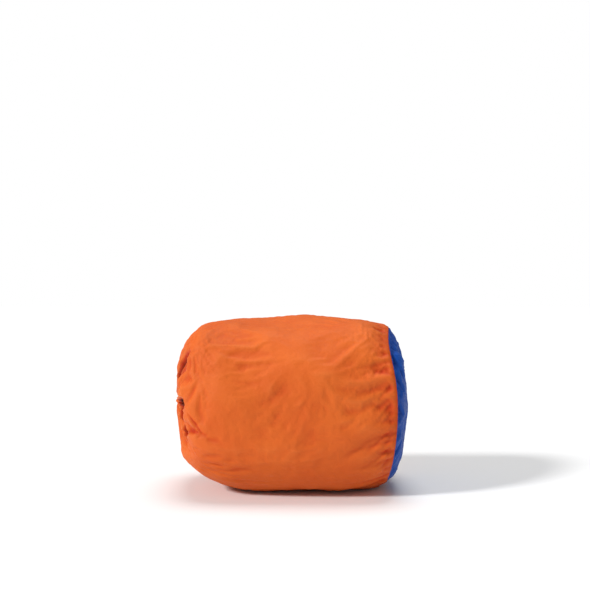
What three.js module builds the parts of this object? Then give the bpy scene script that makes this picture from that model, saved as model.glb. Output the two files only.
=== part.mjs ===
// A packed emergency sleeping bag: a thin film bag, folded small and stuffed tight into its nylon sack.
// The sack is a tube of orange cloth sewn to a round blue end panel, and its other end is gathered shut.
// It lies on its side, with the mouth towards -X, the end panel towards +X and its front towards -Y.
// Millimetres, +Z up. The origin is under the middle of the sack, on the surface that it lies on.
import * as THREE from "three";

// Driving dimensions.
const LENGTH = 116; // from the gathered end to the crown of the end panel
const HEIGHT = 86; // and the swellings add a little to it
const DEPTH = 82;
const PRESSED_FLAT = 1.6; // how much of the round underside is pressed flat
const SQUARENESS = 2.25; // 2 is an ellipse in section, and more is fuller at the corners
const CLOTH = 1.2; // the end panel's thickness, with its seam allowance
const GAP = 0.3; // between the two pieces, where they are sewn
const SEAM_DIP = 0.9; // how far the stitching draws the cloth in
const SEAM_DIP_WIDTH = 2.2;
const PANEL_CROWN = 7.7; // how far the stuffing bulges the end panel out past its seam

const HALF_LENGTH = LENGTH / 2;
const SEAM_X = HALF_LENGTH - PANEL_CROWN;
const HALF_HEIGHT = (HEIGHT + PRESSED_FLAT) / 2;
const HALF_DEPTH = DEPTH / 2;
const AXIS_HEIGHT = HEIGHT - HALF_HEIGHT;

// The mouth is a little off the sack's axis, and the gathered end is lifted and turned slightly to the front.
const MOUTH_FORWARD = 0.16; // as a share of the half depth
const MOUTH_UP = 0.02; // as a share of the half height
const END_LIFT = 2.6;
const LIFT_ENDS = 34; // how far from the end the lift fades out
const END_TURN = 0.1; // how far the end comes forward, in mm for each mm towards the front
const END_X = -HALF_LENGTH;
const SHIFT_ENDS = 0.92; // the share of the full size from which the rings are on the axis

// How the mesh is divided.
const STEPS_AROUND = 96;
const PANEL_RINGS = 8; // of the end panel, and of the filling just under it
const PROBE = 1e-3; // the step that the surface's normal is measured over

const TROUGH_SHARPNESS = 1.4; // of the gathers: 2 is a round trough, and less is sharper at the bottom

// The tube's outline, from the bottom of the closed mouth to the seam: the radius as a share of the half height.
const TUBE_OUTLINE = [
  { x: END_X + 9.5, share: 0.035 },
  { x: END_X + 5.0, share: 0.05 },
  { x: END_X + 1.8, share: 0.075 },
  { x: END_X + 0.2, share: 0.13 },
  { x: END_X + 0.5, share: 0.24 },
  { x: END_X + 2.3, share: 0.46 },
  { x: END_X + 4.0, share: 0.6 },
  { x: END_X + 6.8, share: 0.72 },
  { x: END_X + 11.0, share: 0.82 },
  { x: END_X + 17.5, share: 0.905 },
  { x: END_X + 28.5, share: 0.965 },
  { x: -10, share: 0.99 },
  { x: 14, share: 1.0 },
  { x: 34, share: 0.99 },
  { x: 45, share: 0.962 },
  { x: SEAM_X - GAP / 2, share: 0.926 },
];

// The end panel's outline, from its seam to its crown.
const PANEL_OUTLINE = [
  { x: SEAM_X + GAP / 2, share: 0.924 },
  { x: HALF_LENGTH - 5.9, share: 0.862 },
  { x: HALF_LENGTH - 3.8, share: 0.765 },
  { x: HALF_LENGTH - 2.1, share: 0.62 },
  { x: HALF_LENGTH - 0.9, share: 0.44 },
  { x: HALF_LENGTH - 0.2, share: 0.24 },
  { x: HALF_LENGTH, share: 0 },
];

// Where the tube's rings lie: how many, up to which distance along the cloth from the mouth's rim.
const RING_BANDS = [
  { to: 0, rings: 4 },
  { to: 14, rings: 7 },
  { to: 40, rings: 12 },
  { to: 66, rings: 7 },
  { to: 124, rings: 11 },
  { to: 132, rings: 3 },
];

// How far the seam strays along the sack, in mm. at and width are degrees around it.
const SEAM_STRAYS = [
  { at: 4, width: 22, by: 0.5 },
  { at: 50, width: 24, by: -2.4 },
  { at: 150, width: 30, by: 0.7 },
  { at: 235, width: 34, by: -0.8 },
  { at: 300, width: 30, by: -2.3 },
];

// The gathers, as troughs that fan out from the mouth. at, swing and width are degrees around it, where 0 is
// the front and 90 the top, and swing is how far the trough has turned by its far end. depth and runs are in
// mm, and runs is how far along the cloth it reaches.
const GATHERS = [
  { at: 14, swing: -4, depth: 2.2, width: 6, runs: 24 },
  { at: 76, swing: -27, depth: 3.2, width: 6, runs: 40 },
  { at: 99, swing: -26, depth: 3.4, width: 7, runs: 46 },
  { at: 120, swing: -12, depth: 1.8, width: 6, runs: 62 },
  { at: 140, swing: -6, depth: 3.2, width: 8, runs: 46 },
  { at: 160, swing: 0, depth: 2.0, width: 6, runs: 30 },
  { at: 181, swing: 6, depth: 3.4, width: 8, runs: 68 },
  { at: 204, swing: 4, depth: 2.1, width: 6, runs: 36 },
  { at: 226, swing: 10, depth: 3.2, width: 8, runs: 58 },
  { at: 250, swing: 12, depth: 2.2, width: 6, runs: 32 },
  { at: 272, swing: 12, depth: 3.6, width: 6, runs: 36 },
  { at: 300, swing: 26, depth: 3.6, width: 6, runs: 38 },
  { at: 334, swing: 8, depth: 2.6, width: 6, runs: 30 },
];

// Soft troughs and swellings in the stuffed cloth. along is mm from the mouth's rim, around is in degrees,
// long and wide are mm, lean turns the long way from the sack's length, and rise is negative for a trough.
const SWELLS = [
  { along: 18.6, around: 3.6, long: 3.0, wide: 2.4, lean: 0, rise: -5.5 },
  { along: 22, around: 16, long: 8, wide: 4, lean: 0, rise: 1.6 },
  { along: 24, around: 350, long: 7, wide: 4, lean: 0, rise: 1.0 },
  { along: 31, around: 1, long: 6, wide: 6, lean: 0, rise: 1.5 },
  { along: 18, around: 42, long: 15, wide: 3.6, lean: -50, rise: -1.9 },
  { along: 10, around: 84, long: 8, wide: 30, lean: 0, rise: 1.2 },
  { along: 20, around: 298, long: 8, wide: 13, lean: 0, rise: 1.5 },
  { along: 40, around: 274, long: 12, wide: 22, lean: 0, rise: -2.4 },
  { along: 34, around: 52, long: 10, wide: 8, lean: 10, rise: 1.4 },
  { along: 40, around: 334, long: 12, wide: 8, lean: -20, rise: 1.4 },
  { along: 60, around: 25, long: 26, wide: 8, lean: 12, rise: -1.3 },
  { along: 82, around: 2, long: 22, wide: 7, lean: -16, rise: -1.0 },
  { along: 104, around: 40, long: 17, wide: 6, lean: -10, rise: -1.1 },
  { along: 112, around: 338, long: 13, wide: 6, lean: 14, rise: -0.9 },
  { along: 74, around: 332, long: 20, wide: 9, lean: 4, rise: 1.1 },
  { along: 66, around: 78, long: 24, wide: 9, lean: -8, rise: -1.2 },
  { along: 95, around: 100, long: 18, wide: 9, lean: 18, rise: 1.0 },
  { along: 84, around: 140, long: 26, wide: 8, lean: -12, rise: -1.4 },
  { along: 58, around: 165, long: 20, wide: 10, lean: 6, rise: 0.9 },
  { along: 106, around: 188, long: 16, wide: 8, lean: 12, rise: -1.1 },
  { along: 76, around: 214, long: 24, wide: 8, lean: -6, rise: -1.1 },
];

const radians = THREE.MathUtils.degToRad;
const smooth = (value, from, to) => THREE.MathUtils.smoothstep(value, from, to);

const toCurve = (outline) =>
  new THREE.SplineCurve(outline.map(({ x, share }) => new THREE.Vector2(x, share * HALF_HEIGHT)));

const tubeCurve = toCurve(TUBE_OUTLINE);
const panelCurve = toCurve(PANEL_OUTLINE);
const TUBE_LENGTH = tubeCurve.getLength();
const PANEL_LENGTH = panelCurve.getLength();
const THROAT_LENGTH = 11.3; // the cloth inside the closed mouth

// How much fuller than an ellipse the section is at an angle around the axis.
function fullness(angle) {
  const across = Math.abs(Math.cos(angle)) ** SQUARENESS + Math.abs(Math.sin(angle)) ** SQUARENESS;
  return across ** (-1 / SQUARENESS);
}

// The gathered end is a shallow dome, at this X for a share of the full size.
const domeX = (share) => END_X + 7 * share ** 2 + 12.5 * share ** 4;

const degreesApart = (a, b) => ((((a - b) % 360) + 540) % 360) - 180;

// How far the seam strays at an angle around the axis.
function seamStray(angle) {
  const degrees = THREE.MathUtils.radToDeg(angle);
  return SEAM_STRAYS.reduce((sum, { at, width, by }) => {
    return sum + by * Math.exp(-((degreesApart(degrees, at) / width) ** 2));
  }, 0);
}

// A point of the smooth tube. along is mm from the mouth's rim, and angle 0 faces the front.
function tubePoint(along, angle) {
  const onCurve = THREE.MathUtils.clamp((along + THROAT_LENGTH) / TUBE_LENGTH, 0, 1);
  const { x, y: radius } = tubeCurve.getPointAt(onCurve);
  const share = radius / HALF_HEIGHT;
  const round = THREE.MathUtils.lerp(1, fullness(angle), smooth(share, 0.3, 0.95));
  const shift = Math.max(0, 1 - share / SHIFT_ENDS) ** 1.3;
  const [cos, sin] = [share * Math.cos(angle), share * Math.sin(angle)];
  const forward = MOUTH_FORWARD * shift + round * cos;
  const up = MOUTH_UP * shift + round * sin;
  const outward = Math.min(Math.hypot(MOUTH_FORWARD * shift + cos, MOUTH_UP * shift + sin), 0.94);
  const turned = END_TURN * forward * HALF_DEPTH * (1 - smooth(outward, 0.6, 0.98));
  const lifted = END_LIFT * (1 - smooth(x, END_X + 4, END_X + LIFT_ENDS));
  const strayed = seamStray(angle) * smooth(x, 12, SEAM_X) ** 2;
  return new THREE.Vector3(
    x + domeX(outward) - domeX(Math.min(share, 0.94)) + turned + strayed,
    -forward * HALF_DEPTH,
    AXIS_HEIGHT + lifted + up * HALF_HEIGHT,
  );
}

// A point of the smooth end panel. along is mm from its seam.
function panelPoint(along, angle) {
  const { x, y: radius } = panelCurve.getPointAt(THREE.MathUtils.clamp(along / PANEL_LENGTH, 0, 1));
  const share = radius / HALF_HEIGHT;
  const round = THREE.MathUtils.lerp(1, fullness(angle), smooth(share, 0.1, 0.8));
  return new THREE.Vector3(
    x + seamStray(angle) * smooth(share, 0.6, PANEL_OUTLINE[0].share),
    -radius * round * Math.cos(angle) * (HALF_DEPTH / HALF_HEIGHT),
    AXIS_HEIGHT + radius * round * Math.sin(angle),
  );
}

// The surface's outward normal at a point of either shape.
function normalAt(surface, along, angle) {
  const here = surface(along, angle);
  const back = surface(along - PROBE, angle);
  const ahead = surface(along + PROBE, angle);
  const aside = surface(along, angle + PROBE).sub(here);
  return ahead.sub(back).cross(aside).normalize();
}

// How far the gathers press the cloth in, all of them together.
function gathered(along, angle) {
  const degrees = THREE.MathUtils.radToDeg(angle);
  return GATHERS.reduce((sum, { at, swing, depth, width, runs }) => {
    const across = Math.abs(degreesApart(degrees, at + swing * smooth(along, 4, runs))) / width;
    const inside = smooth(along, -9, 7) * (1 - smooth(along, runs * 0.5, runs));
    return sum - depth * inside * Math.exp(-(across ** TROUGH_SHARPNESS));
  }, 0);
}

// The soft troughs and swellings, all of them together.
function swelling(along, angle) {
  const degrees = THREE.MathUtils.radToDeg(angle);
  return SWELLS.reduce((sum, { along: middle, around, long, wide, lean, rise }) => {
    const lengthwise = along - middle;
    const sideways = radians(degreesApart(degrees, around)) * HALF_HEIGHT;
    const turn = radians(lean);
    const u = (lengthwise * Math.cos(turn) + sideways * Math.sin(turn)) / long;
    const v = (sideways * Math.cos(turn) - lengthwise * Math.sin(turn)) / wide;
    return sum + rise * Math.exp(-u * u - v * v);
  }, 0);
}

// How far the seam draws the cloth in, at a distance from it.
const seamDip = (distance) => -SEAM_DIP * Math.exp(-((distance / SEAM_DIP_WIDTH) ** 2));

const resting = (point) => point.setZ(Math.max(point.z, 0));

function tubeSkin(along, angle) {
  const toSeam = TUBE_LENGTH - THROAT_LENGTH - along;
  const fade = smooth(toSeam, 0, 12);
  const rise = gathered(along, angle) + fade * swelling(along, angle) + seamDip(toSeam);
  return resting(tubePoint(along, angle).addScaledVector(normalAt(tubePoint, along, angle), rise));
}

// inset is how far under the end panel's outer face the point lies.
function panelSkin(along, angle, inset) {
  const rise = seamDip(along) - inset;
  return panelPoint(along, angle).addScaledVector(normalAt(panelPoint, along, angle), rise);
}

const anglesAround = Array.from({ length: STEPS_AROUND }, (_, i) => radians((i * 360) / STEPS_AROUND));
const ringOf = (surface, along) => anglesAround.map((angle) => surface(along, angle));

// One closed surface: rings of points in order, shut at each end by a fan to a point.
function closedSkin(first, rings, last) {
  const points = [first, ...rings.flat(), last];
  const start = (ring) => 1 + ring * STEPS_AROUND;
  const faces = [];
  for (let i = 0; i < STEPS_AROUND; i++) {
    const next = (i + 1) % STEPS_AROUND;
    faces.push(0, start(0) + i, start(0) + next);
    for (let ring = 0; ring + 1 < rings.length; ring++) {
      const [a, b] = [start(ring) + i, start(ring) + next];
      const [c, d] = [start(ring + 1) + i, start(ring + 1) + next];
      faces.push(a, c, b, b, c, d);
    }
    faces.push(points.length - 1, start(rings.length - 1) + next, start(rings.length - 1) + i);
  }
  const geometry = new THREE.BufferGeometry().setFromPoints(points);
  geometry.setIndex(faces);
  geometry.computeVertexNormals();
  return geometry;
}

const centreOf = (ring) =>
  ring.reduce((sum, point) => sum.add(point), new THREE.Vector3()).divideScalar(ring.length);

// The orange tube and what fills it, as one filled solid. Past the seam it runs on under the end panel.
function stuffedTube() {
  const rings = [];
  let from = -THROAT_LENGTH;
  for (const { to, rings: count } of RING_BANDS) {
    const end = Math.min(to, TUBE_LENGTH - THROAT_LENGTH);
    for (let i = 0; i < count; i++) {
      rings.push(ringOf(tubeSkin, from + ((end - from) * i) / count));
    }
    from = end;
  }
  rings.push(ringOf(tubeSkin, TUBE_LENGTH - THROAT_LENGTH));
  for (let i = 0; i < PANEL_RINGS; i++) {
    const along = (PANEL_LENGTH * i) / PANEL_RINGS;
    const ring = ringOf((a, angle) => panelSkin(a, angle, CLOTH + GAP), along);
    if (i === 0) ring.forEach((point, step) => point.setX(SEAM_X - GAP / 2 + seamStray(anglesAround[step])));
    rings.push(ring);
  }
  const crown = new THREE.Vector3(HALF_LENGTH - CLOTH - GAP, 0, AXIS_HEIGHT);
  return closedSkin(centreOf(rings[0]), rings, crown);
}

// The round panel: a dished sheet over the end of the tube.
function endPanel() {
  const shares = Array.from({ length: PANEL_RINGS }, (_, i) => i / PANEL_RINGS);
  const outside = shares.map((share) => ringOf((a, angle) => panelSkin(a, angle, 0), share * PANEL_LENGTH));
  const inside = shares.map((share) => ringOf((a, angle) => panelSkin(a, angle, CLOTH), share * PANEL_LENGTH));
  for (const ring of [inside[0], outside[0]]) {
    ring.forEach((point, step) => point.setX(SEAM_X + GAP / 2 + seamStray(anglesAround[step])));
  }
  return closedSkin(
    new THREE.Vector3(HALF_LENGTH - CLOTH, 0, AXIS_HEIGHT),
    [...inside.reverse(), ...outside],
    new THREE.Vector3(HALF_LENGTH, 0, AXIS_HEIGHT),
  );
}

const nylon = (color) => new THREE.MeshStandardMaterial({ color, roughness: 0.55, metalness: 0 });

function piece(name, geometry, material) {
  const mesh = new THREE.Mesh(geometry, material);
  mesh.name = name;
  return mesh;
}

const packedBag = new THREE.Group();
packedBag.add(piece("sack_body", stuffedTube(), nylon(0xe6703a)));
packedBag.add(piece("end_panel", endPanel(), nylon(0x2f55a5)));

export default packedBag;
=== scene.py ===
"""A packed emergency sleeping bag: a small nylon sack, stuffed tight, lying on a pale floor.

The sack is a tube of orange cloth with a round blue end panel. Its other end is gathered shut.
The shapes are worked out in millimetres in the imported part's frame, and become metres in the meshes.
"""

import math

import bpy
import numpy as np
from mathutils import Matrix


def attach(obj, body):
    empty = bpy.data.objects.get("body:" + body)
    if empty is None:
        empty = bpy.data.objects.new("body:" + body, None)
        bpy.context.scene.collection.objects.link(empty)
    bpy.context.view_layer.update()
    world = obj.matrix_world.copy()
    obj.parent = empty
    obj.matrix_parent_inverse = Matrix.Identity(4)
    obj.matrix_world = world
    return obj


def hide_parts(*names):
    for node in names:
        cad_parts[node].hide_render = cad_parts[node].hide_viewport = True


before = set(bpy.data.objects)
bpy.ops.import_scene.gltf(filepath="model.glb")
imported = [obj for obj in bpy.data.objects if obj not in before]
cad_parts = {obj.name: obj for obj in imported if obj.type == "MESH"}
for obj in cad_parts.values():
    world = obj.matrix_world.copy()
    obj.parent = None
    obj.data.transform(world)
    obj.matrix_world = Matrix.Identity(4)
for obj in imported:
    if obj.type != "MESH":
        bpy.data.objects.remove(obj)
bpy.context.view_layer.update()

# The part's driving dimensions, in mm.
LENGTH, HEIGHT, DEPTH = 116, 86, 82
PRESSED_FLAT = 1.6  # how much of the round underside is pressed flat
SQUARENESS = 2.25  # 2 is an ellipse in section, and more is fuller at the corners
PANEL_CROWN = 7.7  # how far the stuffing bulges the end panel out past its seam
GAP = 0.3  # between the two pieces, where they are sewn

# These two are the dressed cloth's own. The part's seam is shallower, and its panel thicker.
SEAM_DIP, SEAM_DIP_WIDTH = 1.3, 1.9  # how far the stitching draws the cloth in, and how far it reaches
PANEL_THICKNESS = 1.0

HALF_LENGTH = LENGTH / 2
SEAM_X = HALF_LENGTH - PANEL_CROWN
HALF_HEIGHT = (HEIGHT + PRESSED_FLAT) / 2
HALF_DEPTH = DEPTH / 2
AXIS_HEIGHT = HEIGHT - HALF_HEIGHT
END_X = -HALF_LENGTH

# The mouth is a little off the sack's axis, and the gathered end is lifted and turned slightly to the front.
MOUTH_FORWARD, MOUTH_UP = 0.16, 0.02  # as shares of the half depth and of the half height
END_LIFT, LIFT_ENDS = 2.6, 34  # the lift, and how far from the end it fades out
END_TURN = 0.1  # how far the end comes forward, in mm for each mm towards the front
SHIFT_ENDS = 0.92  # the share of the full size from which the rings are on the axis
END_SLOPE, END_ROUNDING = 7, 12.5  # mm that the closed end falls back, and mm more towards its edge
DOME_ENDS = 0.94  # the share of the full size at which the closed end meets the tube's side
THROAT_LENGTH = 11.3  # of cloth, from the bottom of the closed mouth to its rim

# The outlines: x, and the radius as a share of the half height.
TUBE_OUTLINE = [
    (END_X + 9.5, 0.035), (END_X + 5.0, 0.05), (END_X + 1.8, 0.075), (END_X + 0.2, 0.13),
    (END_X + 0.5, 0.24), (END_X + 2.3, 0.46), (END_X + 4.0, 0.6), (END_X + 6.8, 0.72),
    (END_X + 11.0, 0.82), (END_X + 17.5, 0.905), (END_X + 28.5, 0.965), (-10, 0.99),
    (14, 1.0), (34, 0.99), (45, 0.962), (SEAM_X - GAP / 2, 0.926),
]
PANEL_OUTLINE = [
    (SEAM_X + GAP / 2, 0.924), (HALF_LENGTH - 5.9, 0.862), (HALF_LENGTH - 3.8, 0.765),
    (HALF_LENGTH - 2.1, 0.62), (HALF_LENGTH - 0.9, 0.44), (HALF_LENGTH - 0.2, 0.24),
    (HALF_LENGTH, 0),
]

# Where the round seam strays along the sack: at and width in degrees, by in mm.
SEAM_STRAYS = [(4, 22, 0.5), (50, 24, -2.4), (150, 30, 0.7), (235, 34, -0.8), (300, 30, -2.3)]

# The gathers: at, swing (degrees), depth (mm), width (degrees), runs (mm). The first table is the part's own.
GATHERS = [
    (14, -4, 2.2, 6, 24), (76, -27, 3.2, 6, 40), (99, -26, 3.4, 7, 46), (120, -12, 1.8, 6, 62),
    (140, -6, 3.2, 8, 46), (160, 0, 2.0, 6, 30), (181, 6, 3.4, 8, 68), (204, 4, 2.1, 6, 36),
    (226, 10, 3.2, 8, 58), (250, 12, 2.2, 6, 32), (272, 12, 3.6, 6, 36), (300, 26, 3.6, 6, 38),
    (334, 8, 2.6, 6, 30),
]
FINE_GATHERS = [
    (2, 3, 0.9, 3.2, 17), (27, -6, 1.1, 3.4, 22), (40, -10, 0.9, 3.0, 17), (51, -14, 0.8, 2.8, 15),
    (76, -20, 1.1, 3.4, 28), (88, -16, 0.9, 3.2, 19), (109, -14, 1.1, 3.0, 26), (130, -6, 0.9, 3.0, 20),
    (150, -4, 1.2, 3.2, 34), (170, 2, 0.9, 3.0, 21), (192, 4, 1.2, 3.4, 30), (215, 6, 1.1, 3.2, 24),
    (238, 8, 1.2, 3.2, 34), (261, 8, 0.9, 3.0, 18), (284, 12, 1.2, 3.4, 25), (313, 12, 1.1, 3.4, 22),
    (322, 8, 0.9, 2.8, 16), (346, 4, 1.0, 3.0, 20),
]

SHARPNESS, FINE_SHARPNESS = 1.4, 1.5  # of the gathers: 2 is a round trough, and less is sharper at the bottom
WIDER_SIDE, NARROWER_SIDE = 1.25, 0.75  # of a gather, as shares of its width

# Soft troughs and swellings: along (mm), around (degrees), long, wide (mm), lean (degrees), rise (mm).
# The first one is the small pocket beside the mouth.
SWELLS = [
    (20.5, 2.6, 4.6, 2.3, 0, -7), (22, 16, 8, 4, 0, 1.6), (31, 1, 6, 6, 0, 1.5),
    (10, 84, 8, 30, 0, 1.2), (18, 42, 15, 3.6, -50, -1.9), (28, 23, 9, 3.4, -14, -1.9),
    (17, 27, 6, 6, 0, 2.0), (24, 350, 7, 4, 0, 1.0), (20, 298, 8, 13, 0, 1.5),
    (40, 274, 12, 22, 0, -2.4), (34, 52, 10, 8, 10, 1.4), (40, 334, 12, 8, -20, 1.4),
    (60, 25, 26, 8, 12, -1.3), (82, 2, 22, 7, -16, -1.0), (104, 40, 17, 6, -10, -1.1),
    (112, 338, 13, 6, 14, -0.9), (74, 332, 20, 9, 4, 1.1), (66, 78, 24, 9, -8, -1.2),
    (95, 100, 18, 9, 18, 1.0), (84, 140, 26, 8, -12, -1.4), (58, 165, 20, 10, 6, 0.9),
    (106, 188, 16, 8, 12, -1.1), (76, 214, 24, 8, -6, -1.1),
]

# Pleats and creases. A path is (along, degrees around). On its left, as seen from outside along the path,
# the cloth stands up by high and falls off over its width. The other side sinks by low, and a slit runs under
# the fold. A crease has come up fully at the share grown of its path, and fades from the share fading.
# Each row: path, grown, fading, high, its width, low, its width, slit, its width. All but the shares are mm.
CREASES = [
    ([(-3, 82), (5, 70), (11, 62), (18, 55), (27, 50), (36, 45)], 0.22, 0.5, 1.0, 8.0, 2.0, 5.0, 2.0, 0.8),
    ([(2, -5), (8.5, -1.5), (14, 5), (20, 8), (27, 9)], 0.22, 0.6, 1.6, 4.0, 1.4, 1.6, 1.2, 0.7),
    ([(21, -46), (20.5, -34), (19.5, -22), (17.5, -11), (15, -4)], 0.4, 0.85, 1.4, 4.0, 2.6, 3.5, 2.6, 1.8),
    ([(40, -16), (31, -20), (25, -29), (20, -40)], 0.22, 0.6, 0.7, 2.5, 0.6, 1.2, 0.5, 0.6),
    ([(40, -17), (33, -10), (28, -3)], 0.22, 0.6, 0.7, 2.0, 0.6, 1.1, 0.6, 0.6),
    ([(8, -62), (16, -56), (30, -58), (42, -50)], 0.22, 0.6, 0.8, 4.0, 0.8, 2.5, 0.6, 0.7),
    ([(46, 62), (34, 66), (20, 78), (10, 92)], 0.22, 0.6, 0.7, 4.0, 0.7, 2.0, 0.5, 0.7),
]
PANEL_CREASES = [
    ([(0.4, 44), (6, 36), (13, 24)], 0.22, 0.6, 0.7, 5.0, 0.5, 1.5, 0.3, 0.6),
    ([(0.4, 26), (5, 22), (12, 10)], 0.22, 0.6, 0.5, 3.0, 0.4, 1.2, 0.3, 0.6),
    ([(0.4, 8), (5, 3), (12, -8)], 0.22, 0.6, 0.5, 5.0, 0.6, 1.8, 0.3, 0.6),
    ([(12, -26), (6, -33), (0.4, -36)], 0.22, 0.6, 0.3, 4.0, 0.6, 1.2, 0.3, 0.6),
    ([(14, 88), (7, 96), (0.4, 100)], 0.22, 0.6, 0.7, 4.0, 0.4, 1.4, 0.3, 0.6),
    ([(0.4, 150), (8, 142), (17, 128)], 0.22, 0.6, 0.8, 5.0, 0.5, 1.6, 0.3, 0.6),
    ([(0.4, 196), (7, 200), (14, 210)], 0.22, 0.6, 0.7, 4.0, 0.4, 1.4, 0.3, 0.6),
    ([(16, 236), (8, 246), (0.4, 250)], 0.22, 0.6, 0.8, 5.0, 0.4, 1.4, 0.3, 0.6),
    ([(0.4, 292), (8, 298), (15, 312)], 0.22, 0.6, 0.5, 4.0, 0.5, 1.4, 0.3, 0.6),
]

CREASE_STEP = 0.5  # mm over which the cloth steps up at a crease
CREASE_REACH = 14  # mm beside a crease at which it has died away
SLIT_OFF = 1.2  # from the fold to the slit's middle, in widths of the slit
WALL_OFF, WALL_WIDTH = 0.3, 0.9  # the same of the fold's dark side, where shade is painted, and its width
WALL_SHADE = 1.3  # how deep the painted dark side counts as, as a share of the slit

LONG_SEAM_AT = 232  # degrees around the tube
SEAM_RADIUS = 42  # mm, of the tube where the long seam runs
GROOVE_DEPTH, GROOVE_WIDTH = 0.7, 0.8  # mm, of the long seam
RIDGE_HEIGHT, RIDGE_AT, RIDGE_WIDTH = 0.28, 2.6, 1.7  # mm, of the doubled cloth beside the long seam

POCKET_AT, POCKET_DEGREE = (19.8, 2.4), 0.62  # along, degrees around, and mm for each degree there
POCKET_SHADE_HALF = (6.0, 2.7)  # mm from the pocket's middle to the edge of its painted dark inside, along and around
SEAM_SHADE_REACH = 7  # mm beside the round seam over which the cloth is painted darker, as painted shade
BLUE_HOLLOW_AT, BLUE_HOLLOW_SIZE = (11, -30), (10, 26)  # on the panel: mm from its seam, and degrees around
BLUE_HOLLOW_DEPTH = 1.2

AROUND = 400  # points in a ring of the meshes

rng = np.random.default_rng(11)


# Small helpers


def add_object(name, data):
    obj = bpy.data.objects.new(name, data)
    bpy.context.scene.collection.objects.link(obj)
    return obj


def smooth(value, start, end):
    """Rises gently from 0 at start to 1 at end."""
    t = np.clip((value - start) / (end - start), 0, 1)
    return t * t * (3 - 2 * t)


def apart(a, b):
    """Degrees from b to a, between -180 and 180."""
    return (a - b + 180) % 360 - 180


def noise(points, size, seed):
    """Smooth gradient noise from about -1 to 1, with features of a size in mm."""
    p = points / size + seed * 17.17
    cell = np.floor(p).astype(np.int64)
    f = p - cell
    fade = f * f * f * (f * (f * 6 - 15) + 10)
    total = np.zeros(p.shape[:-1])
    for dx in (0, 1):
        for dy in (0, 1):
            for dz in (0, 1):
                corner = cell + np.array((dx, dy, dz))
                h = (corner[..., 0] * 73856093) ^ (corner[..., 1] * 19349663) ^ (corner[..., 2] * 83492791)
                h = (h ^ (h >> 13)) * 1274126177
                h = (h ^ (h >> 16)) & 0xFFFFFF
                turn = (h & 0xFFF) / 4096 * 2 * math.pi
                tall = ((h >> 12) & 0xFFF) / 2048 - 1
                flat = np.sqrt(np.maximum(1 - tall * tall, 0))
                away = f - np.array((dx, dy, dz))
                sideways = away[..., 0] * flat * np.cos(turn) + away[..., 1] * flat * np.sin(turn)
                dot = sideways + away[..., 2] * tall
                weight = 1.0
                for axis, d in enumerate((dx, dy, dz)):
                    weight = weight * (fade[..., axis] if d else 1 - fade[..., axis])
                total += weight * dot
    return total * 1.6


def smoothed(field, times):
    """A field on the rings, evened out with its neighbours."""
    for _ in range(times):
        field = (field + np.roll(field, 1, 1) + np.roll(field, -1, 1)) / 3
        inner = (field[:-2] + field[1:-1] + field[2:]) / 3
        field = np.concatenate([field[:1], inner, field[-1:]])
    return field


def ridges(points, size, seed):
    """Noise with sharp crests, from about -1 to 1."""
    return 1 - 2 * np.minimum(np.abs(noise(points, size, seed)) * 1.6, 1)


OUTLINE_SAMPLES = 6000


class Outline:
    """A spline through (x, share) points, read by the distance along it."""

    def __init__(self, points):
        p = np.array([(x, share * HALF_HEIGHT) for x, share in points], float)
        n = len(p)
        t = np.linspace(0, n - 1, OUTLINE_SAMPLES)
        i = np.minimum(t.astype(int), n - 2)
        w = (t - i)[:, None]
        p0, p1 = p[np.where(i == 0, i, i - 1)], p[i]
        p2, p3 = p[np.minimum(i + 1, n - 1)], p[np.minimum(i + 2, n - 1)]
        v0, v1 = (p2 - p0) / 2, (p3 - p1) / 2
        self.at = (2 * p1 - 2 * p2 + v0 + v1) * w**3 + (-3 * p1 + 3 * p2 - 2 * v0 - v1) * w**2 + v0 * w + p1
        step = np.hypot(*np.diff(self.at, axis=0).T)
        self.run = np.concatenate([[0], np.cumsum(step)])
        self.length = self.run[-1]

    def __call__(self, distance):
        d = np.clip(distance, 0, self.length)
        return np.interp(d, self.run, self.at[:, 0]), np.interp(d, self.run, self.at[:, 1])


tube_outline = Outline(TUBE_OUTLINE)
panel_outline = Outline(PANEL_OUTLINE)
TUBE_END = tube_outline.length - THROAT_LENGTH
PANEL_END = panel_outline.length


# The smooth shapes


def fullness(angle):
    """How far a ring reaches at an angle, as a share of the ellipse through its four sides."""
    return (np.abs(np.cos(angle)) ** SQUARENESS + np.abs(np.sin(angle)) ** SQUARENESS) ** (-1 / SQUARENESS)


def seam_stray(angle):
    """mm that the round seam is off its plane."""
    degrees = np.degrees(angle)
    return sum(by * np.exp(-((apart(degrees, at) / width) ** 2)) for at, width, by in SEAM_STRAYS)


def dome_x(share):
    """Where the closed end lies, at a share of the full size out from the axis."""
    return END_X + END_SLOPE * share**2 + END_ROUNDING * share**4


def tube_point(along, angle):
    """A point of the plain tube. along is mm of cloth from the mouth's rim. angle goes from front to top."""
    x, radius = tube_outline(along + THROAT_LENGTH)
    share = radius / HALF_HEIGHT
    round_ = 1 + (fullness(angle) - 1) * smooth(share, 0.3, 0.95)
    shift = np.maximum(0, 1 - share / SHIFT_ENDS) ** 1.3
    cos, sin = share * np.cos(angle), share * np.sin(angle)
    forward, up = MOUTH_FORWARD * shift + round_ * cos, MOUTH_UP * shift + round_ * sin
    outward = np.minimum(np.hypot(MOUTH_FORWARD * shift + cos, MOUTH_UP * shift + sin), DOME_ENDS)
    turned = END_TURN * forward * HALF_DEPTH * (1 - smooth(outward, 0.6, 0.98))
    lifted = END_LIFT * (1 - smooth(x, END_X + 4, END_X + LIFT_ENDS))
    strayed = seam_stray(angle) * smooth(x, 12, SEAM_X) ** 2
    return np.stack(
        [
            x + dome_x(outward) - dome_x(np.minimum(share, DOME_ENDS)) + turned + strayed,
            -forward * HALF_DEPTH,
            AXIS_HEIGHT + lifted + up * HALF_HEIGHT,
        ],
        -1,
    )


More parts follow.
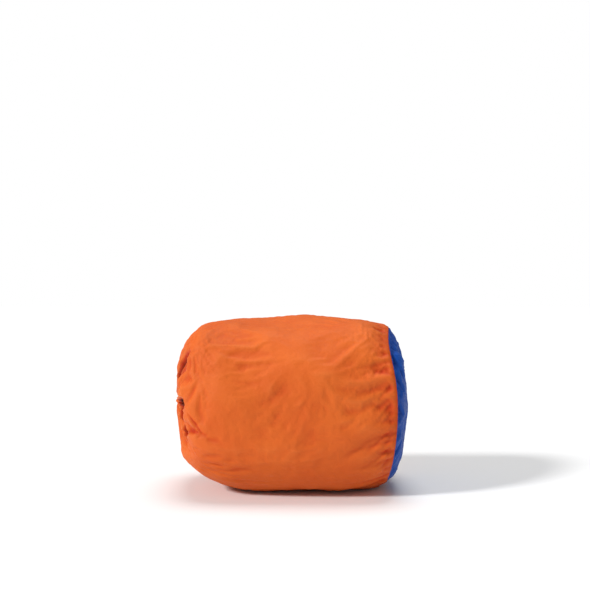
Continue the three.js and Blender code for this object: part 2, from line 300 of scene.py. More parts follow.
def panel_point(along, angle):
    """A point of the plain panel. along is mm of cloth from the round seam."""
    x, radius = panel_outline(along)
    share = radius / HALF_HEIGHT
    round_ = 1 + (fullness(angle) - 1) * smooth(share, 0.1, 0.8)
    return np.stack(
        [
            x + seam_stray(angle) * smooth(share, 0.6, PANEL_OUTLINE[0][1]),
            -radius * round_ * np.cos(angle) * (HALF_DEPTH / HALF_HEIGHT),
            AXIS_HEIGHT + radius * round_ * np.sin(angle),
        ],
        -1,
    )


def normals(surface, along, angle, probe=0.02):
    """The outward normals of a surface, measured over a small step."""
    ahead = surface(along + probe, angle) - surface(along - probe, angle)
    aside = surface(along, angle + probe / 20) - surface(along, angle - probe / 20)
    n = np.cross(ahead, aside)
    return n / np.maximum(np.linalg.norm(n, axis=-1, keepdims=True), 1e-12)


# Folds, creases and wrinkles


def gathers(along, angle, table, sharpness):
    """Troughs that fan out from the mouth. Each is steeper on one side, as a pleat is."""
    degrees = np.degrees(angle)
    total = np.zeros(np.broadcast(along, angle).shape)
    for at, swing, depth, width, runs in table:
        off = apart(degrees, at + swing * smooth(along, 4, runs)) / width
        off = np.where(off > 0, off / WIDER_SIDE, off / NARROWER_SIDE)
        inside = smooth(along, -9, 7) * (1 - smooth(along, runs * 0.5, runs))
        total -= depth * inside * np.exp(-(np.abs(off) ** sharpness))
    return total


def swells(along, angle):
    """All the soft troughs and swellings together."""
    degrees = np.degrees(angle)
    total = np.zeros(np.broadcast(along, angle).shape)
    for middle, around, long, wide, lean, rise in SWELLS:
        lengthwise = along - middle
        sideways = np.radians(apart(degrees, around)) * HALF_HEIGHT
        c, s = math.cos(math.radians(lean)), math.sin(math.radians(lean))
        u = (lengthwise * c + sideways * s) / long
        v = (sideways * c - lengthwise * s) / wide
        total += rise * np.exp(-u * u - v * v)
    return total


def creases(along, angle, table, outline, start):
    """The creases of a table, each a step in the cloth along its path: the rise, and how far it is sunk with
    the fold's dark side, which darkens the colour as painted shade.

    start is how far along the outline the cloth's own measure begins.
    """
    degrees = np.degrees(angle)
    total = np.zeros(np.broadcast(along, angle).shape)
    shade_depths = np.zeros(total.shape)
    for path, grown, fading, high, high_width, low, low_width, slit, slit_width in table:
        points = np.array(path, float)
        reach = outline(points[:, 0].mean() - start)[1] * math.radians(1)  # mm for each degree
        centre = points[:, 1].mean()
        u, v = np.broadcast_arrays(along, apart(degrees, centre) * reach)
        nearest, side, where = np.full(u.shape, 1e9), np.zeros(u.shape), np.zeros(u.shape)
        corners = np.stack([points[:, 0], (points[:, 1] - centre) * reach], 1)
        run = np.concatenate([[0], np.cumsum(np.hypot(*np.diff(corners, axis=0).T))])
        for k in range(len(corners) - 1):
            (au, av), (tu, tv) = corners[k], corners[k + 1] - corners[k]
            long = math.hypot(tu, tv)
            t = np.clip(((u - au) * tu + (v - av) * tv) / long**2, 0, 1)
            gap = np.hypot(u - au - t * tu, v - av - t * tv)
            closer = gap < nearest
            nearest = np.where(closer, gap, nearest)
            side = np.where(closer, np.sign(tu * (v - av) - tv * (u - au)), side)
            where = np.where(closer, (run[k] + t * long) / run[-1], where)
        off = nearest * side
        step = 0.5 + 0.5 * np.tanh(off / CREASE_STEP)
        raised = high * step * np.exp(-np.maximum(off, 0) / high_width)
        sunk = low * (1 - step) * np.exp(np.minimum(off, 0) / low_width)
        sunk += slit * np.exp(-((off / slit_width + SLIT_OFF) ** 2))
        ends = smooth(where, 0, grown) * (1 - smooth(where, fading, 1))
        ends *= np.exp(-((nearest / CREASE_REACH) ** 4))
        total += (raised - sunk) * ends
        # Painted shade: the sunk side and the fold's dark side are passed on to darken the colour.
        wall_shade = WALL_SHADE * slit * np.exp(-(((off / slit_width + WALL_OFF) / WALL_WIDTH) ** 2))
        shade_depths += np.maximum(sunk, wall_shade) * ends
    return total, shade_depths


SQUARE_WITHIN = 3  # mm of the round seam
AT_STITCHES = 0.35  # how much of a pucker's depth there is at the stitches


def beside_seam(normal, angle, distance):
    """Normals that turn square to the axis beside the round seam, so that both cloths draw in together."""
    square = np.stack([0 * angle, -np.cos(angle), np.sin(angle)], -1)
    share = np.exp(-((distance / SQUARE_WITHIN) ** 2))[..., None]
    mixed = normal * (1 - share) + square * share
    return mixed / np.linalg.norm(mixed, axis=-1, keepdims=True)


def seam_dip(distance):
    """How far the stitching draws the cloth in, at a distance from the round seam."""
    return -SEAM_DIP * np.exp(-((distance / SEAM_DIP_WIDTH) ** 2))


def pucker_table():
    """At (degrees), width, depth, the runs into the tube and into the panel (mm), and lean of each pucker."""
    rows = []
    at = 0.0
    while at < 358:
        rows.append((at + rng.uniform(-0.8, 0.8), rng.uniform(0.9, 2.1), rng.uniform(0.5, 1.4),
                     rng.uniform(8, 20), rng.uniform(3, 9), rng.uniform(-0.25, 0.25)))
        at += rng.uniform(3.6, 8.5)
    return rows


PUCKERS = pucker_table()  # one table for both cloths, because the same stitches draw them
ROUND_SEAM_RADIUS = 40  # mm, about


def puckers(distance, angle, on_panel):
    """The puckers' rise. distance is mm from the round seam."""
    degrees = np.degrees(angle)
    total = np.zeros(np.broadcast(distance, angle).shape)
    for at, width, depth, tube_runs, panel_runs, lean in PUCKERS:
        runs = panel_runs if on_panel else tube_runs
        off = np.radians(apart(degrees, at)) * ROUND_SEAM_RADIUS + lean * distance * (1 if on_panel else -1)
        spread = width * (1 + distance / runs)
        deep = depth * (AT_STITCHES + (1 - AT_STITCHES) * smooth(distance, 0, 3))
        deep = deep * (1 - smooth(distance, runs * 0.3, runs * 1.6))
        total -= deep * np.exp(-((np.abs(off) / spread) ** 1.5))
    return total


PATCH_SIZE = 30  # mm, of the patches of crinkles
BETWEEN_PATCHES = 0.3  # how much of the crinkles there is between the patches
CRINKLE_SIZE, CRINKLE_RISE = 9.5, 0.26
FINE_CRINKLE_SIZE, FINE_CRINKLE_RISE = 4.6, 0.11
LONGER = np.array((0.75, 1, 1))  # the larger crinkles are drawn out along the sack
WANDER_SIZE, WANDER = 21, 5  # how the crinkles wander, in mm


def crumples(points, seed):
    """The small crinkles of thin nylon, in patches."""
    p = points + np.stack([noise(points, WANDER_SIZE, seed + k) for k in range(3)], -1) * WANDER
    patch = smooth(noise(points, PATCH_SIZE, seed + 5), -0.4, 0.5)
    mid = ridges(p * LONGER, CRINKLE_SIZE, seed + 8) * CRINKLE_RISE
    fine = ridges(p, FINE_CRINKLE_SIZE, seed + 9) * FINE_CRINKLE_RISE
    return (BETWEEN_PATCHES + (1 - BETWEEN_PATCHES) * patch) * (mid + fine)


def tube_form(along, angle):
    """The tube with its main folds, which the cloth settles on, its normals, and the folds' own rise."""
    base = tube_point(along, angle)
    to_seam = TUBE_END - along
    normal = beside_seam(normals(tube_point, along, angle), angle, to_seam)
    rise = gathers(along, angle, GATHERS, SHARPNESS) + smooth(to_seam, 0, 12) * swells(along, angle)
    rise = rise + seam_dip(to_seam)
    return base + normal * rise[..., None], normal, rise


def panel_form(along, angle):
    """The panel that the cloth settles on, and its normals."""
    base = panel_point(along, angle)
    normal = beside_seam(normals(panel_point, np.minimum(along, PANEL_END - 0.3), angle), angle, along)
    return base + normal * seam_dip(along)[..., None], normal


# The cloth settles on the stuffing, in a short simulation ten times the real size

SIM = 0.01  # metres in the simulation for each mm
SIM_FRAMES = 34
SIM_AROUND, SIM_ALONG, SIM_DISC = 180, 100, 46  # points of its grids
SIM_GRAVITY = 3
CONTACT = 0.004  # metres that the cloth keeps from what it lies on
SLACK, SEAM_SLACK, DISC_SLACK = 1.05, 0.1, 1.06  # how much larger the cloth is than the form under it
SEAM_SLACK_AT, SEAM_SLACK_WIDTH = 6, 8  # mm from the round seam
WRINKLED, DISC_WRINKLED = 1.35, 2.0  # how much bolder the wrinkles are than the simulation's own
MOST_SHIFT, DISC_MOST_SHIFT = 4, 2.5  # mm

# The stuffing's lumps: their sizes and heights in mm.
LUMPS = [(24, 1.3), (12, 0.5)]
DISC_LUMPS = [(17, 1.2), (8, 0.5)]
MOST_LUMP, DISC_MOST_LUMP = 0.9, 0.8  # higher ones are levelled off
BOLDER_LUMPS = 1.6  # on the tube
UNDER_CLOTH, UNDER_DISC = 1.5, 1.1  # mm that the stuffing lies under the form
LOWEST_STUFFING, LOWEST_CLOTH = 1.2, 0.7  # mm above the floor

STIR, STIR_SIZE, DISC_STIR_SIZE = 0.25, 6, 5  # mm, of the uneven start that lets the cloth buckle
NEAR_MOUTH = 3.0  # the cloth nearer the mouth than this isn't simulated
GROUND = np.array([[-300, -300, 0], [300, -300, 0], [300, 300, 0], [-300, 300, 0.0]])


def temporary(name, points, faces):
    """A mesh for the simulation alone."""
    mesh = bpy.data.meshes.new(name)
    mesh.from_pydata((points.reshape(-1, 3) * SIM).tolist(), [], faces.tolist())
    return add_object(name, mesh)


def grid_faces(rows, columns, closed):
    """Quads of a grid of points. closed joins the last column to the first."""
    here = np.arange(columns if closed else columns - 1)
    after = (here + 1) % columns
    one_row = np.stack([here, columns + here, columns + after, after], 1)
    return np.concatenate([r * columns + one_row for r in range(rows - 1)])


def collider(obj):
    """Makes a mesh something that the cloth lies on."""
    obj.modifiers.new("collision", "COLLISION")
    obj.collision.thickness_outer = CONTACT
    obj.collision.cloth_friction = 3
    return obj


def slack_cloth(name, start, rest, faces, pinned):
    """A sheet of cloth, a little larger than the form that it starts on. rest is its own unstrained shape."""
    obj = temporary(name, start, faces)
    obj.shape_key_add(name="start")
    own = obj.shape_key_add(name="rest")
    own.data.foreach_set("co", (rest.reshape(-1, 3) * SIM).astype(np.float32).ravel())
    own.value = 0
    group = obj.vertex_groups.new(name="pinned")
    steps = np.round(pinned.ravel(), 2)
    for weight in np.unique(steps):
        if weight > 0:
            group.add(np.nonzero(steps == weight)[0].tolist(), float(weight), "REPLACE")
    cloth = obj.modifiers.new("cloth", "CLOTH")
    settings = cloth.settings
    settings.quality = 4
    settings.mass = 0.1
    settings.air_damping = 2
    settings.tension_stiffness = settings.compression_stiffness = 15
    settings.shear_stiffness = 3
    settings.bending_stiffness = 0.3
    settings.tension_damping = settings.compression_damping = 5
    settings.shear_damping = 2
    settings.bending_damping = 0.5
    settings.vertex_group_mass = "pinned"
    settings.pin_stiffness = 2
    settings.rest_shape_key = own
    cloth.collision_settings.distance_min = CONTACT
    cloth.collision_settings.use_self_collision = False
    cloth.point_cache.frame_start = 1
    cloth.point_cache.frame_end = SIM_FRAMES
    return obj


def settled(obj):
    """The points of a cloth as the simulation leaves them, in mm."""
    evaluated = obj.evaluated_get(bpy.context.evaluated_depsgraph_get())
    mesh = evaluated.to_mesh()
    found = np.zeros(len(mesh.vertices) * 3, np.float32)
    mesh.vertices.foreach_get("co", found)
    evaluated.to_mesh_clear()
    return found.reshape(-1, 3).astype(float) / SIM


def disc_grid():
    """A square grid drawn out to a disc: each point's distance from the rim, and its angle."""
    a, b = np.meshgrid(np.linspace(-1, 1, SIM_DISC), np.linspace(-1, 1, SIM_DISC), indexing="ij")
    wide = np.abs(a) > np.abs(b)
    radius = np.where(wide, a, b)
    with np.errstate(divide="ignore", invalid="ignore"):
        turn = np.where(wide, math.pi / 4 * b / a, math.pi / 2 - math.pi / 4 * a / b)
    turn = np.where(radius == 0, 0, turn)
    turn = np.where(radius < 0, turn + math.pi, turn)
    return (1 - np.abs(radius)) * PANEL_END, turn


def lumpy(points, lumps, most, seed):
    """The lumps' height at some points, levelled off at most."""
    return np.minimum(sum(noise(points, size, seed + k) * high for k, (size, high) in enumerate(lumps)), most)


def tube_cloth():
    """The slack tube, what it lies on, and the form that its shifts are measured from."""
    angle, along = np.meshgrid(np.arange(SIM_AROUND) * (2 * math.pi / SIM_AROUND),
                               np.linspace(NEAR_MOUTH, TUBE_END, SIM_ALONG))
    form, normal, _ = tube_form(along, angle)
    to_seam = TUBE_END - along
    lumps = lumpy(form, LUMPS, MOST_LUMP, 31) * smooth(along, 5, 20)
    lumps = lumps * smooth(to_seam, 0, 10) * BOLDER_LUMPS - UNDER_CLOTH
    stuffing = form + normal * lumps[..., None]
    stirred = noise(form, STIR_SIZE, 40) * STIR * smooth(to_seam, 0, 4) * smooth(along, 3, 10)
    start = form + normal * stirred[..., None]
    stuffing[..., 2] = np.maximum(stuffing[..., 2], LOWEST_STUFFING)
    start[..., 2] = np.maximum(start[..., 2], LOWEST_CLOTH)
    fuller = SLACK + SEAM_SLACK * np.exp(-(((to_seam - SEAM_SLACK_AT) / SEAM_SLACK_WIDTH) ** 2))
    rest = start.copy()
    rest[..., 0] *= SLACK
    rest[..., 1] *= fuller
    rest[..., 2] = (rest[..., 2] - AXIS_HEIGHT) * fuller + AXIS_HEIGHT
    pinned = np.maximum(np.exp(-((to_seam / 1.2) ** 2)), 1 - smooth(along, NEAR_MOUTH, NEAR_MOUTH + 6))
    cloth = slack_cloth("tube_cloth", start, rest, grid_faces(SIM_ALONG, SIM_AROUND, True), pinned)
    coarse_faces = grid_faces(SIM_ALONG // 2, SIM_AROUND // 2, True)
    return cloth, collider(temporary("tube_stuffing", stuffing[::2, ::2], coarse_faces)), form


def disc_cloth():
    """The same for the panel."""
    inward, turn = disc_grid()
    form, normal = panel_form(inward, turn)
    lumps = lumpy(form, DISC_LUMPS, DISC_MOST_LUMP, 33) * smooth(inward, 0, 8) - UNDER_DISC
    stuffing = form + normal * lumps[..., None]
    start = form + normal * (noise(form, DISC_STIR_SIZE, 41) * STIR * smooth(inward, 0, 4))[..., None]
    rest = start.copy()
    rest[..., 1] *= DISC_SLACK
    rest[..., 2] = (rest[..., 2] - AXIS_HEIGHT) * DISC_SLACK + AXIS_HEIGHT
    faces = grid_faces(SIM_DISC, SIM_DISC, False)[:, ::-1]
    cloth = slack_cloth("disc_cloth", start, rest, faces, np.exp(-(inward**2)))
    return cloth, collider(temporary("disc_stuffing", stuffing, faces)), form


def settle():
    """How far the slack cloth moves from the tube's form and from the panel's: two grids of shifts in mm."""
    tube, tube_stuffing, tube_start = tube_cloth()
    disc, disc_stuffing, disc_start = disc_cloth()
    ground = collider(temporary("ground", GROUND, np.array([[0, 1, 2, 3]])))
    scene = bpy.context.scene
    scene.gravity = (0, 0, -SIM_GRAVITY)
    for number in range(1, SIM_FRAMES + 1):
        scene.frame_set(number)
    moved = settled(tube).reshape(tube_start.shape) - tube_start
    disc_moved = settled(disc).reshape(disc_start.shape) - disc_start
    for obj in (tube, tube_stuffing, disc, disc_stuffing, ground):
        mesh = obj.data
        bpy.data.objects.remove(obj)
        bpy.data.meshes.remove(mesh)
    scene.frame_set(1)
    return moved, disc_moved


def cubic_weights(places, count, closed):
    """A matrix that reads a row of count values at places, with a cubic between them."""
    i = np.floor(places).astype(int)
    t = places - i
    parts = (-t + 2 * t**2 - t**3, 2 - 5 * t**2 + 3 * t**3, t + 4 * t**2 - 3 * t**3, -(t**2) + t**3)
    weights = np.zeros((len(places), count))
    for step, part in enumerate(parts):
        at = (i + step - 1) % count if closed else np.clip(i + step - 1, 0, count - 1)
        np.add.at(weights, (np.arange(len(places)), at), part / 2)
    return weights


def capped(shift, most):
    """Shifts that are no longer than most."""
    size = np.linalg.norm(shift, axis=-1, keepdims=True)
    return shift * np.minimum(1, most / np.maximum(size, 1e-9))


def tube_shift(moved, alongs, angles):
    """The settled cloth's shift on a finer grid."""
    rows = np.clip((alongs - NEAR_MOUTH) / (TUBE_END - NEAR_MOUTH) * (SIM_ALONG - 1), 0, SIM_ALONG - 1)
    down = cubic_weights(rows, SIM_ALONG, False)
    round_ = cubic_weights(angles / (2 * math.pi) * SIM_AROUND, SIM_AROUND, True)
    fine = np.einsum("ri,ijk,aj->rak", down, capped(moved * WRINKLED, MOST_SHIFT), round_, optimize=True)
    return fine * smooth(alongs, NEAR_MOUTH, NEAR_MOUTH + 5)[:, None, None]


def disc_shift(moved, inward, turn):
    """The same for the panel. The points are given by their distance from the rim and their angle."""
    radius = 1 - inward / PANEL_END
    quarter = np.floor((np.degrees(turn) + 45) / 90).astype(int) % 4
    off = turn - quarter * (math.pi / 2)
    off = (off + math.pi) % (2 * math.pi) - math.pi
    side = radius * off / (math.pi / 4)
    a = np.choose(quarter, [radius, -side, -radius, side])
    b = np.choose(quarter, [side, radius, -side, -radius])
    rows, columns = ((v + 1) / 2 * (SIM_DISC - 1) for v in (a, b))
    down = cubic_weights(rows.ravel(), SIM_DISC, False)
    across = cubic_weights(columns.ravel(), SIM_DISC, False)
    bolder = capped(moved * DISC_WRINKLED, DISC_MOST_SHIFT)
    fine = np.einsum("ni,ijk,nj->nk", down, bolder, across, optimize=True)
    return fine.reshape(*radius.shape, 3)


def above_floor(skin, least=0.6):
    """Eases what would sink nearer the floor than least."""
    height = skin[..., 2]
    eased = least * np.exp((np.minimum(height, least) - least) / least)
    skin[..., 2] = np.where(height < least, eased, height)
    return skin


# Painted shade: how deep some places count as, on top of their real depth, when the colours are chosen, so
# that they are painted darker.
CREASE_SHADE, BLUE_CREASE_SHADE = 0.8, 0.5  # for each mm that they are sunk
POCKET_SHADE, SEAM_SHADE = 6, 0.8  # mm
LEVELLING, BLUE_LEVELLING = 30, 14  # passes that find the level of the cloth round a point
BLUE_CRINKLES = 0.9  # as a share of the tube's
BLUE_CRINKLES_FROM = 40  # mm, where the panel's noise is read, so that it differs from the tube's
THIN_EDGE = 0.1  # the panel's thickness at its seam, as a share of the rest


def long_seam(angle):
    """The long seam's groove, and the doubled cloth beside it."""
    off = apart(np.degrees(angle), LONG_SEAM_AT) * math.radians(1) * SEAM_RADIUS
    groove = -GROOVE_DEPTH * np.exp(-((off / GROOVE_WIDTH) ** 2))
    return groove + RIDGE_HEIGHT * np.exp(-(((off - RIDGE_AT) / RIDGE_WIDTH) ** 2))


def pocket_shade_mask(along, angle):
    """1 in the small pocket beside the mouth, whose inside is painted dark, and 0 away from it."""
    beside = apart(np.degrees(angle), POCKET_AT[1]) * POCKET_DEGREE
    return np.exp(-(((along - POCKET_AT[0]) / POCKET_SHADE_HALF[0]) ** 4) - (beside / POCKET_SHADE_HALF[1]) ** 4)


def tube_skin(alongs, angles, moved):
    """The finished tube's points, and how far each lies above the cloth round it, made deeper where shade is
    painted.
    """
    along, angle = alongs[:, None], angles[None, :]
    form, normal, folds = tube_form(along, angle)
    to_seam = TUBE_END - along
    shift = tube_shift(moved, alongs, angles)
    pleats, shade_depths = creases(along, angle, CREASES, tube_outline, -THROAT_LENGTH)
    rise = gathers(along, angle, FINE_GATHERS, FINE_SHARPNESS) + pleats + puckers(to_seam, angle, False)
    rise = rise + crumples(form, 3) * smooth(along, 2, 22) * smooth(to_seam, 0, 5)
    rise = rise + long_seam(angle) * smooth(along, 12, 30) * smooth(to_seam, -1, 3)
    shading_relief = folds + rise + (shift * normal).sum(-1)
    # Painted shade: the relief, lower in troughs and creases, picks darker colours in the material.
    shading_relief = shading_relief - smoothed(shading_relief, LEVELLING) - shade_depths * CREASE_SHADE
    # Painted shade: the pocket's inside is painted near black.
    shading_relief = shading_relief - pocket_shade_mask(along, angle) * POCKET_SHADE
    # Painted shade: a darker band beside the round seam.
    shading_relief = shading_relief - np.exp(-((to_seam / SEAM_SHADE_REACH) ** 2)) * SEAM_SHADE
    return above_floor(form + shift + normal * rise[..., None]), shading_relief


def panel_skin(alongs, angles, inset, moved):
    """The same for the panel. inset is mm into the cloth."""
    along, angle = np.broadcast_arrays(alongs[:, None], angles[None, :])
    form, normal = panel_form(along, angle)
    shift = disc_shift(moved, along, angle)
    pleats, shade_depths = creases(along, angle, PANEL_CREASES, panel_outline, 0)
    rise = puckers(along, angle, True) + pleats
    rise = rise + crumples(form + BLUE_CRINKLES_FROM, 21) * BLUE_CRINKLES * smooth(along, 0.5, 6)
    across = apart(np.degrees(angle), BLUE_HOLLOW_AT[1]) / BLUE_HOLLOW_SIZE[1]
    down = (along - BLUE_HOLLOW_AT[0]) / BLUE_HOLLOW_SIZE[0]
    rise = rise - BLUE_HOLLOW_DEPTH * np.exp(-(across**2) - down**2)
    shading_relief = rise + (shift * normal).sum(-1)
    # Painted shade: the same for the panel's troughs and creases.
    shading_relief = shading_relief - smoothed(shading_relief, BLUE_LEVELLING) - shade_depths * BLUE_CREASE_SHADE
    inset = inset * (THIN_EDGE + (1 - THIN_EDGE) * smooth(along, 0, 4))
    return form + shift + normal * (rise - inset)[..., None], shading_relief


# Meshes


def grid_mesh(name, skin, uvs, caps):
    """A closed mesh from rings of points, with a fan at each end. uvs, in mm, have one more column."""
    rings, around = skin.shape[:2]
    verts = np.concatenate([skin.reshape(-1, 3), np.array(caps)]) / 1000
    first, last = rings * around, rings * around + 1
    faces, corner_uvs = [], []
    index = np.arange(around)
    after = (index + 1) % around
    for r in range(rings - 1):
        a, b = r * around + index, r * around + after
        faces.extend(np.stack([a, a + around, b + around, b], 1).tolist())
        corners = [uvs[r, :-1], uvs[r + 1, :-1], uvs[r + 1, 1:], uvs[r, 1:]]
        corner_uvs.append(np.stack(corners, 1).reshape(-1, 2))
    faces.extend(np.stack([np.full(around, first), index, after], 1).tolist())
    corner_uvs.append(np.stack([uvs[0, :-1], uvs[0, :-1], uvs[0, 1:]], 1).reshape(-1, 2))
    top = (rings - 1) * around
    faces.extend(np.stack([np.full(around, last), top + after, top + index], 1).tolist())
    corner_uvs.append(np.stack([uvs[-1, :-1], uvs[-1, 1:], uvs[-1, :-1]], 1).reshape(-1, 2))
    mesh = bpy.data.meshes.new(name)
    mesh.from_pydata(verts.tolist(), [], faces)
    layer = mesh.uv_layers.new(name="cloth")
    layer.data.foreach_set("uv", np.concatenate(corner_uvs).astype(np.float32).ravel())
    mesh.shade_smooth()
    mesh.update()
    return add_object(name, mesh)


def add_attribute(obj, name, values):
    attribute = obj.data.attributes.new(name, "FLOAT", "POINT")
    attribute.data.foreach_set("value", np.asarray(values, np.float32).ravel())


def bands(*parts):
    """Ring positions: (from, to, count) for each stretch."""
    return np.concatenate([np.linspace(a, b, n, endpoint=False) for a, b, n in parts])


# The rings start at the long seam, so that the weave is cut there.
ANGLES = math.radians(LONG_SEAM_AT) + np.arange(AROUND) * (2 * math.pi / AROUND)
TUBE_GIRTH = 268  # mm, of the cloth
# They are closest in the stretch with the creases, and beside the round seam.
TUBE_RINGS = np.append(
    bands((-THROAT_LENGTH, 0, 9), (0, 10, 20), (10, 46, 76), (46, 108, 70), (108, TUBE_END, 52)), TUBE_END
)
PANEL_RINGS = 44
INSIDE_EVERY = 4  # the panel's inside has every fourth ring
PANEL_CROWDING = 1.15  # 1 spaces the panel's rings evenly, and more crowds them towards its middle
CAP_SHARES = np.array([0.97, 0.9, 0.75, 0.5, 0.25])  # of the tube's edge, for the rings of the cap behind it
CAP_BEHIND = 1.2  # mm from the tube's edge to the cap
TUCKED_BEHIND, TUCKED_SHARE = 0.7, 0.982  # the panel's edge: mm behind the tube's, and as a share of it


def sack_cloth(moved):
    """The tube, and its edge at the seam. Behind the panel it ends in a plain cap, where nothing is seen."""
    tube, shading_relief = tube_skin(TUBE_RINGS, ANGLES, moved)
    rim = tube[-1] - np.array((CAP_BEHIND, 0, 0))
    cap = np.stack([rim.mean(0) + (rim - rim.mean(0)) * share for share in CAP_SHARES])
    skin = np.concatenate([tube, cap])
    down = np.append(TUBE_RINGS, TUBE_END + (1 - CAP_SHARES) * ROUND_SEAM_RADIUS)
    round_ = np.linspace(0, TUBE_GIRTH, AROUND + 1)
    uvs = np.stack(np.broadcast_arrays(round_[None, :], down[:, None]), -1)
    piece = grid_mesh("sack_cloth", skin, uvs, [skin[0].mean(0), skin[-1].mean(0)])
    add_attribute(piece, "shading_relief", np.concatenate([shading_relief.ravel(), np.zeros(len(CAP_SHARES) * AROUND + 2)]))
    return piece, tube[-1]


def end_cloth(edge, moved):
    """The round panel. Its own edge is tucked in under the tube's edge."""
    rings = (1 - (1 - np.arange(PANEL_RINGS) / PANEL_RINGS) ** PANEL_CROWDING) * PANEL_END
    outside, shading_relief = panel_skin(rings, ANGLES, 0, moved)
    inside, _ = panel_skin(rings[::INSIDE_EVERY], ANGLES, PANEL_THICKNESS, moved)
    tucked = edge - np.array((TUCKED_BEHIND, 0, 0))
    tucked = tucked.mean(0) + (tucked - tucked.mean(0)) * TUCKED_SHARE
    outside[0] = (outside[0] + tucked) / 2
    inside[0] = tucked
    skin = np.concatenate([inside[::-1], outside])
    radius = (PANEL_END - rings)[:, None]
    flat = np.stack([-radius * np.cos(ANGLES), radius * np.sin(ANGLES)], -1)
    flat = np.concatenate([flat[::INSIDE_EVERY][::-1], flat])
    flat = np.concatenate([flat, flat[:, :1]], 1)
    piece = grid_mesh("end_cloth", skin, flat, [skin[0].mean(0), skin[-1].mean(0)])
    plain = np.zeros(inside.shape[0] * AROUND)
    add_attribute(piece, "shading_relief", np.concatenate([plain, shading_relief.ravel(), [0, 0]]))
    return piece


tube_moved, disc_moved = settle()
body, body_edge = sack_cloth(tube_moved)
panel = end_cloth(body_edge, disc_moved)


# Materials

WEAVE = 0.42  # mm, between threads of one sort
HOLLOW_SHADE_SHARE = 0.1  # painted shade: how much of the deep colour is left at the bottom of a hollow
CRINKLE_BUMP, FOLD_BUMP, WEAVE_BUMP = 0.00028, 0.0003, 0.00003  # metres


class Nodes:
    """Builds a material's nodes with few words."""

    def __init__(self, name):
        self.material = bpy.data.materials.new(name)
        self.material.use_nodes = True
        self.tree = self.material.node_tree
        self.shader = self.tree.nodes["Principled BSDF"]

    def add(self, kind, **inputs):
        node = self.tree.nodes.new(kind)
        for key, value in inputs.items():
            if key in node.inputs:
                self.put(value, node.inputs[key])
            else:
                setattr(node, key, value)
        return node

    def put(self, value, socket):
        if isinstance(value, bpy.types.NodeSocket):
            self.tree.links.new(value, socket)
        else:
            socket.default_value = value

    def math(self, operation, a, b=0.0):
        node = self.tree.nodes.new("ShaderNodeMath")
        node.operation = operation
        self.put(a, node.inputs[0])
        self.put(b, node.inputs[1])
        return node.outputs[0]

    def mix(self, factor, a, b):
        node = self.tree.nodes.new("ShaderNodeMix")
        node.data_type = "RGBA"
        self.put(factor, node.inputs["Factor"])
        self.put(a, node.inputs[6])
        self.put(b, node.inputs[7])
        return node.outputs[2]

    def ramp(self, value, start, end, to_start, to_end):
        """Takes a value from start..end to to_start..to_end, and holds it at both ends."""
        spans = {"From Min": start, "From Max": end, "To Min": to_start, "To Max": to_end}
        return self.add("ShaderNodeMapRange", Value=value, **spans).outputs[0]

    def noise(self, place, **inputs):
        return self.add("ShaderNodeTexNoise", Vector=place, **inputs)


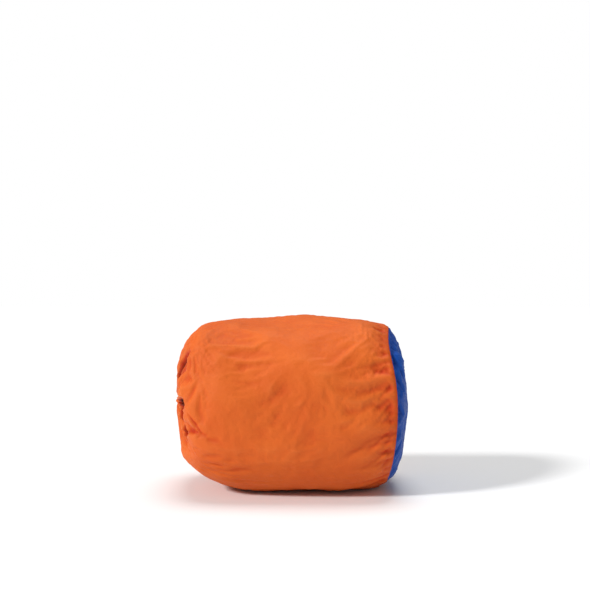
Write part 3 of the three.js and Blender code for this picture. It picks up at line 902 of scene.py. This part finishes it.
def nylon(name, lit, deep, painted_highlight, roughness, sheen, gloss):
    """Thin nylon: a fine plain weave, small crinkles, painted shade in the folds and hollows, and painted
    highlights on the crests.
    """
    n = Nodes(name)
    uv = n.add("ShaderNodeUVMap", uv_map="cloth").outputs[0]
    place = n.add("ShaderNodeTexCoord").outputs["Object"]
    shading_relief = n.add("ShaderNodeAttribute", attribute_name="shading_relief").outputs["Fac"]
    parts = n.add("ShaderNodeSeparateXYZ", Vector=uv)
    turns = 2 * math.pi / WEAVE
    warp = n.math("SINE", n.math("MULTIPLY", parts.outputs[0], turns))
    weft = n.math("SINE", n.math("MULTIPLY", parts.outputs[1], turns))
    weave = n.math("MULTIPLY", warp, weft)

    cloudy = n.noise(place, Scale=38.0, Detail=3.0, Roughness=0.55).outputs["Fac"]
    flecks = n.noise(uv, Scale=1.7, Detail=4.0, Roughness=0.65).outputs["Fac"]
    # Painted highlight: crests take a paler colour, in flecks.
    highlight_share = n.ramp(shading_relief, 0.12, 0.9, 0.0, 0.4)
    # Painted shade: troughs take the deep colour, and deep hollows a nearly black one.
    trough_shade = n.ramp(shading_relief, -0.1, -1.4, 0.0, 0.9)
    hollow_shade = n.ramp(shading_relief, -1.6, -4.5, 0.0, 0.95)
    hollow_shade_colour = tuple([c * HOLLOW_SHADE_SHARE for c in deep[:3]] + [1.0])
    # The deep colour gives the cloth's random mottling here and the weave's darker threads below. In the two
    # mixes after this one it is painted shade.
    colour = n.mix(n.ramp(cloudy, 0.3, 0.7, 0.0, 0.3), lit, deep)
    colour = n.mix(trough_shade, colour, deep)
    colour = n.mix(hollow_shade, colour, hollow_shade_colour)
    colour = n.mix(n.math("MULTIPLY", highlight_share, flecks), colour, painted_highlight)
    colour = n.mix(n.ramp(weave, -1.0, 1.0, 0.0, 0.1), colour, deep)
    n.put(colour, n.shader.inputs["Base Color"])

    n.put(n.ramp(flecks, 0.25, 0.75, roughness - 0.06, roughness + 0.08), n.shader.inputs["Roughness"])
    n.shader.inputs["Sheen Weight"].default_value = sheen
    n.shader.inputs["Sheen Roughness"].default_value = 0.4
    # The paler crest colour also tints the sheen.
    n.shader.inputs["Sheen Tint"].default_value = painted_highlight
    n.shader.inputs["Specular IOR Level"].default_value = gloss

    crinkle = n.noise(uv, Scale=0.42, Detail=5.0, Roughness=0.6, Distortion=0.8).outputs["Fac"]
    soft = n.add("ShaderNodeBump", Strength=1.0, Distance=CRINKLE_BUMP, Height=crinkle)
    wandering = n.mix(0.12, uv, n.noise(uv, Scale=0.3).outputs["Color"])
    cells = n.add("ShaderNodeTexVoronoi", Vector=wandering, Scale=0.2).outputs["Distance"]
    folds = n.add("ShaderNodeBump", Strength=0.6, Distance=FOLD_BUMP, Height=cells, Normal=soft.outputs[0])
    fine = n.add("ShaderNodeBump", Strength=0.5, Distance=WEAVE_BUMP, Height=weave, Normal=folds.outputs[0])
    n.put(fine.outputs[0], n.shader.inputs["Normal"])
    return n.material


def srgb(r, g, b):
    """A colour on the usual scale of 0 to 255, as a shader takes it."""
    return tuple([((c / 255 + 0.055) / 1.055) ** 2.4 for c in (r, g, b)] + [1.0])


# In both nylons below, the deep colour is painted shade for troughs and hollows, and the paler colour after
# it is a painted highlight for crests.
def orange_nylon():
    return nylon("orange_nylon", lit=srgb(223, 108, 40), deep=srgb(188, 52, 16), painted_highlight=srgb(238, 146, 80),
                 roughness=0.52, sheen=0.03, gloss=0.15)


def blue_nylon():
    return nylon("blue_nylon", lit=srgb(26, 80, 172), deep=srgb(8, 34, 110), painted_highlight=srgb(74, 120, 200),
                 roughness=0.48, sheen=0.01, gloss=0.12)


body.data.materials.append(orange_nylon())
panel.data.materials.append(blue_nylon())

for piece, node, slot in ((body, "sack_body", "orange_nylon"), (panel, "end_panel", "blue_nylon")):
    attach(piece, "root")
    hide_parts(node)


# Floor, light and camera

FLOOR_REACH = 6  # metres each way
MM_PER_PIXEL, PICTURE = 0.51, 590  # of the photograph, at the sack
VIEW_DISTANCE = 430  # mm from the sack's axis to the camera
CAMERA_ASIDE, CAMERA_UP = 2.7, 55  # mm from the sack's middle
SENSOR = 36  # mm


def pale_floor():
    far = FLOOR_REACH
    mesh = bpy.data.meshes.new("floor")
    mesh.from_pydata([(-far, -far, 0), (far, -far, 0), (far, far, 0), (-far, far, 0)], [], [(0, 1, 2, 3)])
    look = bpy.data.materials.new("floor_look")
    look.use_nodes = True
    shader = look.node_tree.nodes["Principled BSDF"]
    shader.inputs["Base Color"].default_value = (0.9, 0.9, 0.9, 1)
    shader.inputs["Roughness"].default_value = 0.9
    mesh.materials.append(look)
    add_object("floor", mesh)


def studio():
    """White all round, but dimmer as a light than it looks."""
    world = bpy.data.worlds.new("studio")
    world.use_nodes = True
    nodes, links = world.node_tree.nodes, world.node_tree.links
    lighting = nodes["Background"]
    lighting.inputs["Color"].default_value = (1, 1, 1, 1)
    lighting.inputs["Strength"].default_value = 0.3
    seen = nodes.new("ShaderNodeBackground")
    seen.inputs["Color"].default_value = (1, 1, 1, 1)
    which = nodes.new("ShaderNodeMixShader")
    links.new(nodes.new("ShaderNodeLightPath").outputs["Is Camera Ray"], which.inputs[0])
    links.new(lighting.outputs[0], which.inputs[1])
    links.new(seen.outputs[0], which.inputs[2])
    links.new(which.outputs[0], nodes["World Output"].inputs["Surface"])
    bpy.context.scene.world = world


def sun(name, place, spread, strength):
    """A soft light from the direction of place. spread is in degrees."""
    data = bpy.data.lights.new(name, "SUN")
    data.angle = math.radians(spread)
    data.energy = strength
    lamp = add_object(name, data)
    lamp.location = place
    x, y, z = place
    lamp.rotation_euler = (math.atan2(math.hypot(x, y), z), 0, math.atan2(x, -y))


def photograph_camera():
    """Level and square to the sack, a little above its middle."""
    data = bpy.data.cameras.new("camera")
    data.sensor_width = SENSOR
    data.lens = SENSOR * VIEW_DISTANCE / (MM_PER_PIXEL * PICTURE)
    camera = add_object("camera", data)
    camera.location = (CAMERA_ASIDE / 1000, -VIEW_DISTANCE / 1000, (AXIS_HEIGHT + CAMERA_UP) / 1000)
    camera.rotation_euler = (math.pi / 2, 0, 0)
    bpy.context.scene.camera = camera


pale_floor()
studio()
sun("key", (-0.78, -0.44, 0.56), 9, 2.5)
sun("top", (0.05, 0.15, 1), 30, 1.5)
bpy.context.scene.view_settings.view_transform = "Standard"
photograph_camera()
